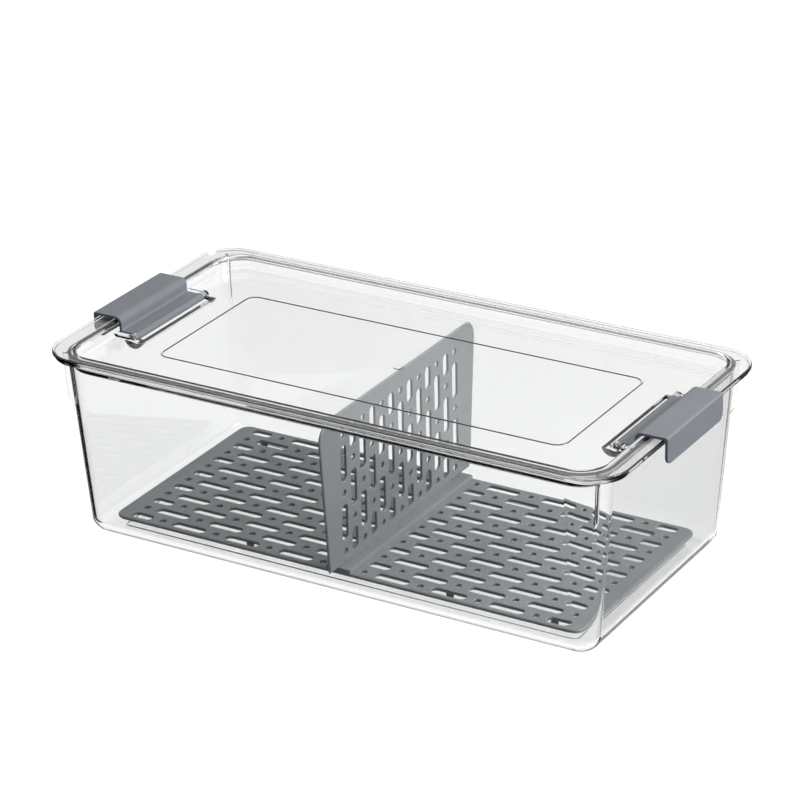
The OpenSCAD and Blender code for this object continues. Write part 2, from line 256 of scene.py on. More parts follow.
def base_line_level(inset, z):
    half_x, half_y = tub_fillet[0][0] - BASE_LINE_IN, tub_fillet[0][1] - BASE_LINE_IN
    return half_x - inset, half_y - inset, BASE_LINE_CORNER - inset, z


under_rim, rim_top = TUB_TOP - RIM, TUB_TOP - AIR_GAP
tub_fillet = lower_fillet(BASE_ROUND, tub_outside(0), 0, ROUND_STEPS)
tub_levels = [
    base_line_level(across * BASE_LINE_WIDTH, up * BASE_LINE_DEEP) for across, up in BASE_LINE_SECTION
]
tub_levels += tub_fillet
tub_levels += [
    core_level(tub_outside(under_rim - EDGE), under_rim - EDGE),
    core_level(tub_outside(under_rim) + EDGE, under_rim),
    rim_level(EDGE, under_rim),
    rim_level(0, under_rim + EDGE),
    rim_level(0, rim_top - EDGE),
    rim_level(EDGE, rim_top),
    core_level(tub_inside(rim_top) + EDGE, rim_top),
    core_level(tub_inside(rim_top - EDGE), rim_top - EDGE),
]
tub_levels += reversed(lower_fillet(BASE_ROUND - TUB_WALL, tub_inside(FLOOR), FLOOR, ROUND_STEPS))

bm = bmesh.new()
skin_over(bm, tub_levels)
tub = new_piece("tub_shell", bm)
show_solid(tub)

# %% [markdown]
# The corner fins
#
# Under each corner of the rim stands one thin upright fin, which keeps stacked tubs apart. A fin is a flat
# outline of five points that is pushed out to its thickness, and it is joined to the tub so that no inner
# face is left inside the clear wall.

# %% Join a fin to each corner
FIN_REACH, FIN_HEIGHT, FIN_THICK = 2.6 * MM, 26 * MM, 1.4 * MM
FIN_TURN = math.radians(38)
FIN_RUN_OUT = 1.5 * FIN_REACH
FIN_ROUND, FIN_ROUND_STEPS = 0.45 * FIN_THICK, 4


def soften_edges(bm, edges, width, steps):
    bmesh.ops.bevel(
        bm, geom=edges, offset=width, offset_type="OFFSET", segments=steps, profile=0.5,
        affect="EDGES", material=-1, clamp_overlap=True,
    )


def stays_in_y(edge):
    return abs(edge.verts[0].co.y - edge.verts[1].co.y) < EDGE


def corner_fins():
    low = under_rim - FIN_HEIGHT
    bend = low + FIN_RUN_OUT
    outline = [
        (tub_outside(under_rim) - TUB_WALL / 2, TUB_TOP - RIM / 2),
        (tub_outside(low) - TUB_WALL / 2, low),
        (tub_outside(low), low),
        (tub_outside(bend) + FIN_REACH, bend),
        (tub_outside(under_rim) + FIN_REACH, TUB_TOP - RIM / 2),
    ]
    bm = bmesh.new()
    ring = [bm.verts.new((x, -FIN_THICK / 2, z)) for x, z in outline]
    side = bm.faces.new(ring)
    grown = bmesh.ops.extrude_face_region(bm, geom=[side])
    moved = [v for v in grown["geom"] if isinstance(v, bmesh.types.BMVert)]
    bmesh.ops.translate(bm, verts=moved, vec=(0, FIN_THICK, 0))
    almost_out = 0.9 * FIN_REACH
    outer = [e for e in bm.edges if all(v.co.x > tub_outside(v.co.z) + almost_out for v in e.verts)]
    soften_edges(bm, [e for e in outer if stays_in_y(e)], FIN_ROUND, FIN_ROUND_STEPS)
    bmesh.ops.rotate(bm, verts=bm.verts[:], cent=(0, 0, 0), matrix=Matrix.Rotation(FIN_TURN, 3, "Z"))
    bmesh.ops.translate(bm, verts=bm.verts[:], vec=(CORE_X, CORE_Y, 0))
    for axis in "XY":
        bmesh.ops.mirror(bm, geom=bm.verts[:] + bm.edges[:] + bm.faces[:], axis=axis, merge_dist=-1)
    bmesh.ops.recalc_face_normals(bm, faces=bm.faces[:])
    return new_piece("corner_fins", bm)


combine(tub, corner_fins(), "UNION")
smooth_faces(tub, CLEAR_CREASE_DEG)
show_solid(tub)

# %% [markdown]
# The lid
#
# The lid has a flat flange that rests on the rim, a low wall that drops into the mouth, and a panel at the
# bottom of that wall. A thin raised line on the panel marks a rectangle. It is drawn the same way as the
# tub: up the outside of the low wall, out and round the flange, and down to the panel. The line could be
# joined on later, but as a few more rings it needs no cut, and the clear panel stays clean.

# %% Make the lid's skin
FLANGE_OUT_ROUND, FLANGE_IN_ROUND = 0.8 * MM, 1.2 * MM
PANEL, PANEL_DROP = 2.0 * MM, 7.2 * MM
PANEL_TOP = LID_TOP - PANEL_DROP
PANEL_LOW = PANEL_TOP - PANEL
PANEL_FILLET = 1.6 * MM
LINE_HALF_X, LINE_HALF_Y, LINE_CORNER = 115 * MM, 44 * MM, 6.5 * MM
LINE_WIDTH, LINE_RISE = 1.2 * MM, 0.4 * MM
LINE_SECTION = ((0, 0), (0.12, 0.7), (0.35, 1), (0.65, 1), (0.88, 0.7), (1, 0))
SMALL_STEPS = 6


def flange_level(inset, z):
    return LID_HALF_X - inset, LID_HALF_Y - inset, LID_CORNER - inset, z


def line_level(inset, rise):
    return LINE_HALF_X - inset, LINE_HALF_Y - inset, LINE_CORNER - inset, PANEL_TOP + rise


lid_levels = lower_fillet(PANEL_FILLET + LID_WALL / 2, plug_outside(PANEL_LOW), PANEL_LOW, SMALL_STEPS)
lid_levels += [
    core_level(plug_outside(TUB_TOP), TUB_TOP),
    flange_level(EDGE, TUB_TOP),
    flange_level(0, TUB_TOP + EDGE),
]
for i in range(SMALL_STEPS + 1):
    turn = math.pi / 2 * i / SMALL_STEPS
    inset = FLANGE_OUT_ROUND * (1 - math.cos(turn))
    lid_levels.append(flange_level(inset, LID_TOP - FLANGE_OUT_ROUND * (1 - math.sin(turn))))
inner_middle = plug_inside(LID_TOP - FLANGE_IN_ROUND) + FLANGE_IN_ROUND / math.cos(LEAN)
for i in range(SMALL_STEPS + 1):
    turn = math.pi / 2 + (math.pi / 2 - LEAN) * i / SMALL_STEPS
    reach = inner_middle + FLANGE_IN_ROUND * math.cos(turn)
    lid_levels.append(core_level(reach, LID_TOP - FLANGE_IN_ROUND * (1 - math.sin(turn))))
lid_levels += reversed(lower_fillet(PANEL_FILLET, plug_inside(PANEL_TOP), PANEL_TOP, SMALL_STEPS))
lid_levels += [line_level(across * LINE_WIDTH, up * LINE_RISE) for across, up in LINE_SECTION]
bm = bmesh.new()
skin_over(bm, lid_levels)
lid = new_piece("lid_shell", bm)
show_solid(lid)

# %% [markdown]
# The hinge seats in the lid
#
# Each clip turns on two pins in clear ears on the panel. Under the clip's round barrel the panel has a
# half-round trough, so that the barrel can turn. The trough's shell and the ears are joined to the lid,
# then the hollow and the pin bores are cut, on one end and mirrored to the other. They are cut last because
# they have to go through the panel and the joined shapes alike.

# %% Sizes and simple shapes for the hinge seats
CLIP_LEN, CLIP_GAP = 59.6 * MM, 0.4 * MM
PLATE_REACH, HINGE_RISE = 10 * MM, 0.2 * MM
STEP_OUT = CORE_X + plug_inside(PANEL_TOP) - CLIP_GAP
HINGE_X, HINGE_Z = STEP_OUT - PLATE_REACH, PANEL_TOP + HINGE_RISE
BARREL_R, EAR_R = 2.0 * MM, 2.3 * MM
PIN_R, PIN_LEN, PIN_PLAY = 1.2 * MM, 2.4 * MM, 0.06 * MM
EAR_IN, EAR_THICK = CLIP_LEN / 2 + CLIP_GAP, 3.6 * MM
EAR_RIB, RIB_PAST_STEP = 1.6 * MM, 1.3 * MM
TROUGH_R, TROUGH_SHIFT = 3.8 * MM, 1.3 * MM
TROUGH_X = HINGE_X - TROUGH_SHIFT
BORE_R, BORE_DEPTH = PIN_R + PIN_PLAY, 2.3 * MM
ROD_POINTS, TROUGH_POINTS, PIN_POINTS = 40, 64, 24


def rod_along_y(bm, x, y_mid, z, radius, length, points=ROD_POINTS):
    place = Matrix.Translation((x, y_mid, z)) @ Matrix.Rotation(math.pi / 2, 4, "X")
    bmesh.ops.create_cone(
        bm, cap_ends=True, cap_tris=False, segments=points, radius1=radius, radius2=radius,
        depth=length, matrix=place,
    )


def block(bm, low, high):
    size = Vector(high) - Vector(low)
    place = Matrix.Translation((Vector(low) + Vector(high)) / 2) @ Matrix.Diagonal((*size, 1))
    bmesh.ops.create_cube(bm, size=1, matrix=place)


def both_ends(name, bm):
    bmesh.ops.mirror(bm, geom=bm.verts[:] + bm.edges[:] + bm.faces[:], axis="X", merge_dist=-1)
    bmesh.ops.recalc_face_normals(bm, faces=bm.faces[:])
    return new_piece(name, bm)


print("hinge axis at x", round(HINGE_X / MM, 2), "and z", round(HINGE_Z / MM, 2), "mm")

# %% Join the troughs and the ears
bm = bmesh.new()
rod_along_y(bm, TROUGH_X, 0, PANEL_TOP, TROUGH_R + PANEL, 2 * (EAR_IN + EAR_THICK), TROUGH_POINTS)
cut_level = PANEL_TOP - PANEL / 2
bmesh.ops.bisect_plane(
    bm, geom=bm.verts[:] + bm.edges[:] + bm.faces[:], plane_co=(0, 0, cut_level),
    plane_no=(0, 0, 1), clear_outer=True,
)
bmesh.ops.contextual_create(bm, geom=[e for e in bm.edges if e.is_boundary])
combine(lid, both_ends("trough_shells", bm), "UNION")

for side in (-1, 1):
    middle = side * (EAR_IN + EAR_THICK / 2)
    bm = bmesh.new()
    rod_along_y(bm, HINGE_X, middle, HINGE_Z, EAR_R, EAR_THICK)
    combine(lid, both_ends("ear_rounds", bm), "UNION")
    bm = bmesh.new()
    block(
        bm,
        (HINGE_X, middle - EAR_THICK / 2, PANEL_LOW + PANEL / 2),
        (STEP_OUT + RIB_PAST_STEP, middle + EAR_THICK / 2, PANEL_TOP + EAR_RIB),
    )
    combine(lid, both_ends("ear_ribs", bm), "UNION")
show_solid(lid)

# %% Cut the hollows and the pin bores
bm = bmesh.new()
rod_along_y(bm, TROUGH_X, 0, PANEL_TOP, TROUGH_R, 2 * EAR_IN, TROUGH_POINTS)
combine(lid, both_ends("trough_hollows", bm), "DIFFERENCE")
bm = bmesh.new()
rod_along_y(bm, HINGE_X, 0, HINGE_Z, BORE_R, 2 * (EAR_IN + BORE_DEPTH), PIN_POINTS)
combine(lid, both_ends("pin_bores", bm), "DIFFERENCE")
show_solid(lid)

# %% [markdown]
# The gate mark
#
# Plastic enters the mould in the middle of the panel and leaves a small raised disc there. It is a short
# cylinder with a softened upper edge, joined to the panel. A bump in the finish would be quicker, but only a
# real edge bends the view through the clear panel.

# %% Join the gate mark to the panel
GATE_R, GATE_RISE = 2.75 * MM, 0.4 * MM
GATE_EDGE, GATE_EDGE_STEPS = 0.15 * MM, 2

bm = bmesh.new()
bmesh.ops.create_cone(
    bm, cap_ends=True, cap_tris=False, segments=ROD_POINTS, radius1=GATE_R, radius2=GATE_R,
    depth=PANEL / 2 + GATE_RISE,
    matrix=Matrix.Translation((0, 0, PANEL_TOP + (GATE_RISE - PANEL / 2) / 2)),
)
top_ring = [e for e in bm.edges if min(v.co.z for v in e.verts) > PANEL_TOP]
bmesh.ops.bevel(
    bm, geom=top_ring, offset=GATE_EDGE, segments=GATE_EDGE_STEPS, profile=0.5, affect="EDGES", material=-1,
)
combine(lid, new_piece("gate_mark", bm), "UNION")
smooth_faces(lid, CLEAR_CREASE_DEG)
show_solid(lid)

# %% [markdown]
# The clips
#
# A clip is one bent strip: an outer lip, a top plate, a step down and a low plate that ends in the hinge
# barrel. Its section is a flat outline of ten points whose bends are rounded, and the outline is pushed
# along the lid's end. Blocks could be joined instead, but one outline gives each bend its own round without
# a seam. The barrel and its pins are joined to the strip, and the left-hand clip is a mirrored copy.

# %% Sizes of the clip
CLIP_T = 1.5 * MM
CLIP_LOW = LID_TOP + CLIP_GAP
CLIP_TOP = CLIP_LOW + CLIP_T
PLATE_LOW = PANEL_TOP + CLIP_GAP
PLATE_TOP = PLATE_LOW + CLIP_T
STEP_IN = STEP_OUT - CLIP_T
LIP_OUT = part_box("clip_right")[1].x
LIP_IN = LIP_OUT - CLIP_T
LIP_DROP, LIP_CORNER = 14 * MM, 4 * MM
LIP_LOW = CLIP_TOP - LIP_DROP

print("clip's lip from z", round(LIP_LOW / MM, 2), "to", round(CLIP_TOP / MM, 2), "mm")

# %% Bend the right-hand strip
BENDS = {"under": 2.0 * MM, "lip_inside": 0.6 * MM, "outer": 1.2 * MM, "step": 3.5 * MM, "foot": 0.8 * MM}
BEND_STEPS = 8
SOFT_EDGE, SOFT_EDGE_STEPS = 0.3 * MM, 2
SHARP = math.radians(40)


def clip_strip():
    section = [
        ((HINGE_X, PLATE_LOW), None),
        ((STEP_OUT, PLATE_LOW), None),
        ((STEP_OUT, CLIP_LOW), "under"),
        ((LIP_IN, CLIP_LOW), "lip_inside"),
        ((LIP_IN, LIP_LOW), None),
        ((LIP_OUT, LIP_LOW), None),
        ((LIP_OUT, CLIP_TOP), "outer"),
        ((STEP_IN, CLIP_TOP), "step"),
        ((STEP_IN, PLATE_TOP), "foot"),
        ((HINGE_X, PLATE_TOP), None),
    ]
    bm = bmesh.new()
    points = [bm.verts.new((x, -CLIP_LEN / 2, z)) for (x, z), bend in section]
    bm.faces.new(points)
    bends = [(v, BENDS[bend]) for v, (place, bend) in zip(points, section) if bend]
    for vert, radius in bends:
        bmesh.ops.bevel(
            bm, geom=[vert], offset=radius, offset_type="OFFSET", segments=BEND_STEPS, profile=0.5,
            affect="VERTICES", material=-1,
        )
    grown = bmesh.ops.extrude_face_region(bm, geom=bm.faces[:])
    moved = [v for v in grown["geom"] if isinstance(v, bmesh.types.BMVert)]
    bmesh.ops.translate(bm, verts=moved, vec=(0, CLIP_LEN, 0))
    bmesh.ops.recalc_face_normals(bm, faces=bm.faces[:])
    lip_low_edges = [e for e in bm.edges if all(v.co.z < LIP_LOW + EDGE for v in e.verts)]
    soften_edges(bm, [e for e in lip_low_edges if stays_in_y(e)], LIP_CORNER, BEND_STEPS)
    sharp_edges = [e for e in bm.edges if e.calc_face_angle(0) > SHARP]
    soften_edges(bm, sharp_edges, SOFT_EDGE, SOFT_EDGE_STEPS)
    return new_piece("clip_strip_right", bm)


clip_right = clip_strip()
show_solid(clip_right)

# %% Join the barrel and the pins, and mirror the clip
bm = bmesh.new()
rod_along_y(bm, HINGE_X, 0, HINGE_Z, BARREL_R, CLIP_LEN)
combine(clip_right, new_piece("barrel", bm), "UNION")
bm = bmesh.new()
rod_along_y(bm, HINGE_X, 0, HINGE_Z, PIN_R, CLIP_LEN + 2 * PIN_LEN, PIN_POINTS)
combine(clip_right, new_piece("pins", bm), "UNION")

bm = bmesh.new()
bm.from_mesh(clip_right.data)
bmesh.ops.scale(bm, verts=bm.verts[:], vec=(-1, 1, 1))
bmesh.ops.reverse_faces(bm, faces=bm.faces[:])
clip_left = new_piece("clip_strip_left", bm)
for clip in (clip_left, clip_right):
    smooth_faces(clip, GREY_CREASE_DEG)
    show_solid(clip)

# %% [markdown]
# Holes for the tray and the divider
#
# Both grey plates carry the same pattern: round holes and long slots take turns along a line, and the next
# line starts with the other kind. A hole is a short sleeve of four rings with softened mouths. A slot is the
# same sleeve with its round ring pulled apart in the middle. The plate is then filled in between the
# sleeves, which keeps every hole's edge clean, and no hole has to be cut out of a solid.

# %% Helpers for perforated plates
SLOT_R, SLOT_LEN = 2.7 * MM, 19.5 * MM
DOT_R = 1.8 * MM
SLOT_TRIM = 2.4 * MM
MOUTH_EDGE = 0.25 * MM
HOLE_POINTS = 20
PLATE_CORNER_STEPS = 10


def hole_ring(bm, near, far, across, radius, level):
    """A round ring whose halves stand at near and far along the line."""
    turn = Matrix.Rotation(math.pi / HOLE_POINTS, 4, "Z")
    made = bmesh.ops.create_circle(bm, cap_ends=False, radius=radius, segments=HOLE_POINTS, matrix=turn)
    ahead = [v for v in made["verts"] if v.co.x > 0]
    behind = [v for v in made["verts"] if v.co.x < 0]
    bmesh.ops.translate(bm, verts=ahead, vec=(far, across, level))
    bmesh.ops.translate(bm, verts=behind, vec=(near, across, level))
    return list({e for v in made["verts"] for e in v.link_edges})


def stepped_rings(bm, ring_at, low, high, edge):
    """Bridges four rings from low to high, softened at both ends, and returns the first and the last."""
    steps = [(edge, low), (0, low + edge), (0, high - edge), (edge, high)]
    rings = [ring_at(inset, level) for inset, level in steps]
    for lower, upper in zip(rings, rings[1:]):
        bmesh.ops.bridge_loops(bm, edges=lower + upper)
    return rings[0], rings[-1]


def holes_on_line(places, line):
    """Ends and radius of each hole on one line of the pattern."""
    half = SLOT_LEN / 2 - SLOT_R
    last = len(places) - 1
    for k, place in enumerate(places):
        if (k % 2 == 0) != (line % 2 == 1):
            yield place, place, DOT_R
            continue
        near = place - SLOT_TRIM + SLOT_R if k == 0 else place - half
        far = place + SLOT_TRIM - SLOT_R if k == last else place + half
        yield near, far, SLOT_R


def perforated_plate(bm, outline_at, low, high, holes):
    ends = [stepped_rings(bm, outline_at, low, high, 2 * MOUTH_EDGE)]
    for near, far, across, radius in holes:
        def sleeve_at(inset, level):
            return hole_ring(bm, near, far, across, radius + inset, level)
        ends.append(stepped_rings(bm, sleeve_at, low, high, MOUTH_EDGE))
    for rings in zip(*ends):
        edges = [e for ring in rings for e in ring]
        bmesh.ops.triangle_fill(bm, use_beauty=True, use_dissolve=False, edges=edges)
    bmesh.ops.recalc_face_normals(bm, faces=bm.faces[:])


print("slots are", round(2 * SLOT_R / MM, 2), "mm wide, round holes", round(2 * DOT_R / MM, 2), "mm")

# %% [markdown]
# The drain tray
#
# The tray stands on short feet above the tub's floor, so that water can run off below the food. The feet
# stand between the last two rows of holes. A raised rail across the tray's middle holds the divider. The
# plate comes from the helpers above, the rail and the feet are joined to it, and the rail's slot is cut last
# so that it reaches into the plate.

# %% Make the tray's plate
FOOT_HEIGHT, TRAY_T = 4 * MM, 1.9 * MM
TRAY_LOW = FLOOR + FOOT_HEIGHT
TRAY_TOP = TRAY_LOW + TRAY_T
TRAY_HALF_X, TRAY_HALF_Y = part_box("drain_tray")[1].xy
TRAY_CORNER = 6 * MM
ROW_STEP, ROWS = 9.3 * MM, 6
FIRST_PLACE, PLACE_STEP, PLACES = 11.6 * MM, 15.9 * MM, 8


def tray_outline(inset, level):
    half_x, half_y, corner = TRAY_HALF_X - inset, TRAY_HALF_Y - inset, TRAY_CORNER - inset
    return rounded_ring(bm, half_x, half_y, corner, level, PLATE_CORNER_STEPS)


tray_places = [FIRST_PLACE + PLACE_STEP * k for k in range(PLACES)]
tray_holes = []
for row in range(-ROWS, ROWS + 1):
    for near, far, radius in holes_on_line(tray_places, abs(row)):
        tray_holes.append((near, far, row * ROW_STEP, radius))
        tray_holes.append((-far, -near, row * ROW_STEP, radius))
bm = bmesh.new()
perforated_plate(bm, tray_outline, TRAY_LOW, TRAY_TOP, tray_holes)
tray = new_piece("drain_tray_plate", bm)
show_solid(tray)

# %% Join the rail and the feet, and cut the slot
RAIL_HALF, RAIL_RISE = 7 * MM, 2 * MM
RAIL_TOP = TRAY_TOP + RAIL_RISE
RAIL_EDGE, RAIL_EDGE_STEPS = 0.6 * MM, 3
DIVIDER_T, TONGUE_PLAY = 1.5 * MM, 0.15 * MM
TONGUE_LEN, TONGUE_SLOT = 100 * MM, DIVIDER_T + 2 * TONGUE_PLAY
SLOT_FLOOR = 1 * MM
TONGUE_LOW = TRAY_LOW + SLOT_FLOOR
FOOT_R, FOOT_TAPER, FOOT_POINTS = 2.0 * MM, 0.2 * MM, 24
FOOT_OUT = FIRST_PLACE + (PLACES - 1.5) * PLACE_STEP
FOOT_X, FOOT_Y = (0, FOOT_OUT / 2, FOOT_OUT), (ROWS - 0.5) * ROW_STEP
INTO_PLATE = 0.7 * MM
PAST_RAIL = 1 * MM

joint_level = TRAY_LOW + INTO_PLATE
bm = bmesh.new()
block(bm, (-RAIL_HALF, -TRAY_HALF_Y, joint_level), (RAIL_HALF, TRAY_HALF_Y, RAIL_TOP))
rail_edges = [e for e in bm.edges if max(v.co.z for v in e.verts) > TRAY_TOP]
soften_edges(bm, rail_edges, RAIL_EDGE, RAIL_EDGE_STEPS)
combine(tray, new_piece("divider_rail", bm), "UNION")

bm = bmesh.new()
for x in sorted({side * x for x in FOOT_X for side in (-1, 1)}):
    for y in (-FOOT_Y, FOOT_Y):
        bmesh.ops.create_cone(
            bm, cap_ends=True, cap_tris=False, segments=FOOT_POINTS, radius1=FOOT_R - FOOT_TAPER,
            radius2=FOOT_R, depth=joint_level - FLOOR,
            matrix=Matrix.Translation((x, y, (joint_level + FLOOR) / 2)),
        )
combine(tray, new_piece("tray_feet", bm), "UNION")

bm = bmesh.new()
slot_half = TONGUE_LEN / 2 + TONGUE_PLAY
block(bm, (-TONGUE_SLOT / 2, -slot_half, TONGUE_LOW), (TONGUE_SLOT / 2, slot_half, RAIL_TOP + PAST_RAIL))
combine(tray, new_piece("tongue_slot", bm), "DIFFERENCE")
smooth_faces(tray, GREY_CREASE_DEG)
show_solid(tray)

# %% [markdown]
# The divider
#
# The divider is an upright perforated plate, a little wider at the top because the tub's walls lean. Its
# upper corners are round, and a tongue below stands in the tray's slot. It is made lying down, with its
# height along X, because the same helpers can then fill it, and it is turned upright at the end.

# %% Make the divider
DIVIDER_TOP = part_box("divider")[1].z
DIVIDER_HALF_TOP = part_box("divider")[1].y
DIVIDER_HALF_LOW = DIVIDER_HALF_TOP - (DIVIDER_TOP - RAIL_TOP) * SLOPE
DIVIDER_CORNER = 9.5 * MM
COLUMN_STEP, COLUMNS = 9.0 * MM, 6
FIRST_HEIGHT, HEIGHT_STEP, HEIGHTS = 16.0 * MM, 15.8 * MM, 5


def divider_outline(inset, level):
    old = set(bm.edges)
    half = [
        (TONGUE_LOW + inset, TONGUE_LEN / 2 - inset),
        (RAIL_TOP + inset, TONGUE_LEN / 2 - inset),
        (RAIL_TOP + inset, DIVIDER_HALF_LOW - inset),
        (DIVIDER_TOP - inset, DIVIDER_HALF_TOP - inset),
    ]
    outline = half + [(height, -out) for height, out in reversed(half)]
    points = [bm.verts.new((height, out, level)) for height, out in outline]
    bm.faces.new(points)
    bmesh.ops.bevel(
        bm, geom=points[3:5], offset=DIVIDER_CORNER - inset, offset_type="OFFSET",
        segments=PLATE_CORNER_STEPS, profile=0.5, affect="VERTICES", material=-1,
    )
    ring = [e for e in bm.edges if e not in old]
    bmesh.ops.delete(bm, geom=list({f for e in ring for f in e.link_faces}), context="FACES_ONLY")
    return ring


divider_places = [FIRST_HEIGHT + HEIGHT_STEP * k for k in range(HEIGHTS)]
divider_holes = []
for column in range(-COLUMNS, COLUMNS + 1):
    for near, far, radius in holes_on_line(divider_places, abs(column)):
        divider_holes.append((near, far, column * COLUMN_STEP, radius))
bm = bmesh.new()
perforated_plate(bm, divider_outline, -DIVIDER_T / 2, DIVIDER_T / 2, divider_holes)
bmesh.ops.rotate(bm, verts=bm.verts[:], cent=(0, 0, 0), matrix=Matrix.Rotation(-math.pi / 2, 3, "Y"))
divider = new_piece("divider_plate", bm)
smooth_faces(divider, GREY_CREASE_DEG)
show_solid(divider)

# %% [markdown]
# Moulded grey plastic
#
# The clips, the tray and the divider are satin grey plastic. Under soft light such plastic isn't one flat
# colour: the surface has a very fine grain from the mould, broad faint clouds where it cooled unevenly, and
# small polished spots from use. One node group makes these, and each grey material gives it two close
# shades.

# %% A node group for moulded grain
GROUP_OUTPUTS = {"Shade": "NodeSocketColor", "Roughness": "NodeSocketFloat", "Height": "NodeSocketFloat"}


def noise(tree, place, scale, detail, rough=0.5):
    node = tree.nodes.new("ShaderNodeTexNoise")
    node.inputs["Scale"].default_value = scale
    node.inputs["Detail"].default_value = detail
    node.inputs["Roughness"].default_value = rough
    tree.links.new(place, node.inputs["Vector"])
    return node.outputs["Fac"]


def remap(tree, value, given, wanted):
    node = tree.nodes.new("ShaderNodeMapRange")
    for name, number in zip(("From Min", "From Max", "To Min", "To Max"), given + wanted):
        node.inputs[name].default_value = number
    tree.links.new(value, node.inputs["Value"])
    return node.outputs["Result"]


def moulded_grain():
    tree = bpy.data.node_groups.new("moulded_grain", "ShaderNodeTree")
    for name in ("Deep", "Pale"):
        tree.interface.new_socket(name, in_out="INPUT", socket_type="NodeSocketColor")
    for name, kind in GROUP_OUTPUTS.items():
        tree.interface.new_socket(name, in_out="OUTPUT", socket_type=kind)
    given = tree.nodes.new("NodeGroupInput")
    result = tree.nodes.new("NodeGroupOutput")
    place = tree.nodes.new("ShaderNodeTexCoord").outputs["Object"]
    clouds = noise(tree, place, scale=38, detail=4)
    grain = noise(tree, place, scale=2600, detail=2)
    wear = noise(tree, place, scale=190, detail=3, rough=0.65)
    blend = tree.nodes.new("ShaderNodeMath")
    blend.operation = "MULTIPLY_ADD"
    tree.links.new(remap(tree, grain, (0.3, 0.7), (-0.25, 0.25)), blend.inputs[0])
    blend.inputs[1].default_value = 1.0
    tree.links.new(remap(tree, clouds, (0.3, 0.7), (0.2, 0.8)), blend.inputs[2])
    mix = tree.nodes.new("ShaderNodeMix")
    mix.data_type = "RGBA"
    tree.links.new(blend.outputs[0], mix.inputs["Factor"])
    colours = [s for s in mix.inputs if s.type == "RGBA"]
    tree.links.new(given.outputs["Deep"], colours[0])
    tree.links.new(given.outputs["Pale"], colours[1])
    shade = next(s for s in mix.outputs if s.type == "RGBA")
    tree.links.new(shade, result.inputs["Shade"])
    tree.links.new(remap(tree, wear, (0.35, 0.7), (0.5, 0.36)), result.inputs["Roughness"])
    tree.links.new(grain, result.inputs["Height"])
    return tree


grain_group = moulded_grain()
print("group:", grain_group.name, [s.name for s in grain_group.interface.items_tree])

# %% [markdown]
# Three greys
#
# The clips are the darkest and bluest of the three greys, and the tray and the divider are more neutral, the
# divider a little the deeper of the two. Each one is a Principled shader with the grain group on its colour,
# roughness and bump. A picture of plastic could be laid on instead, but a pattern made by nodes has no seams
# and stays fine from close by.

# %% Make the grey materials
GREY_IOR = 1.49
GRAIN_STRENGTH, GRAIN_HEIGHT = 0.12, 0.05 * MM


def grey_plastic(name, deep, pale):
    material = bpy.data.materials.new(name)
    material.use_nodes = True
    tree = material.node_tree
    shader = tree.nodes["Principled BSDF"]
    shader.inputs["IOR"].default_value = GREY_IOR
    grain = tree.nodes.new("ShaderNodeGroup")
    grain.node_tree = grain_group
    grain.inputs["Deep"].default_value = (*deep, 1)
    grain.inputs["Pale"].default_value = (*pale, 1)
    bump = tree.nodes.new("ShaderNodeBump")
    bump.inputs["Strength"].default_value = GRAIN_STRENGTH
    bump.inputs["Distance"].default_value = GRAIN_HEIGHT
    tree.links.new(grain.outputs["Shade"], shader.inputs["Base Color"])
    tree.links.new(grain.outputs["Roughness"], shader.inputs["Roughness"])
    tree.links.new(grain.outputs["Height"], bump.inputs["Height"])
    tree.links.new(bump.outputs["Normal"], shader.inputs["Normal"])
    return material


clip_grey = grey_plastic("clip_grey", deep=(0.196, 0.209, 0.233), pale=(0.225, 0.239, 0.266))
tray_grey = grey_plastic("tray_grey", deep=(0.276, 0.293, 0.303), pale=(0.314, 0.333, 0.344))
divider_grey = grey_plastic("divider_grey", deep=(0.257, 0.275, 0.287), pale=(0.291, 0.311, 0.324))
print("greys:", clip_grey.name, tray_grey.name, divider_grey.name)

# %% [markdown]
# Clear plastic
#
# The tub and the lid are the same clear plastic. A Principled shader with full transmission bends light as
# the real walls do, and a faint waviness from the mould bends it a little unevenly. Lamps would take very
# many samples to shine through such walls, so for shadow and diffuse rays the material mixes to plain
# transparency.

# %% Make the clear material
CLEAR_IOR = 1.5
CLEAR_DEEP, CLEAR_PALE = (0.958, 0.962, 0.963, 1), (0.972, 0.976, 0.977, 1)
CLEAR_SHADOW = (0.97, 0.975, 0.975, 1)
WAVE_STRENGTH, WAVE_HEIGHT = 0.15, 0.2 * MM


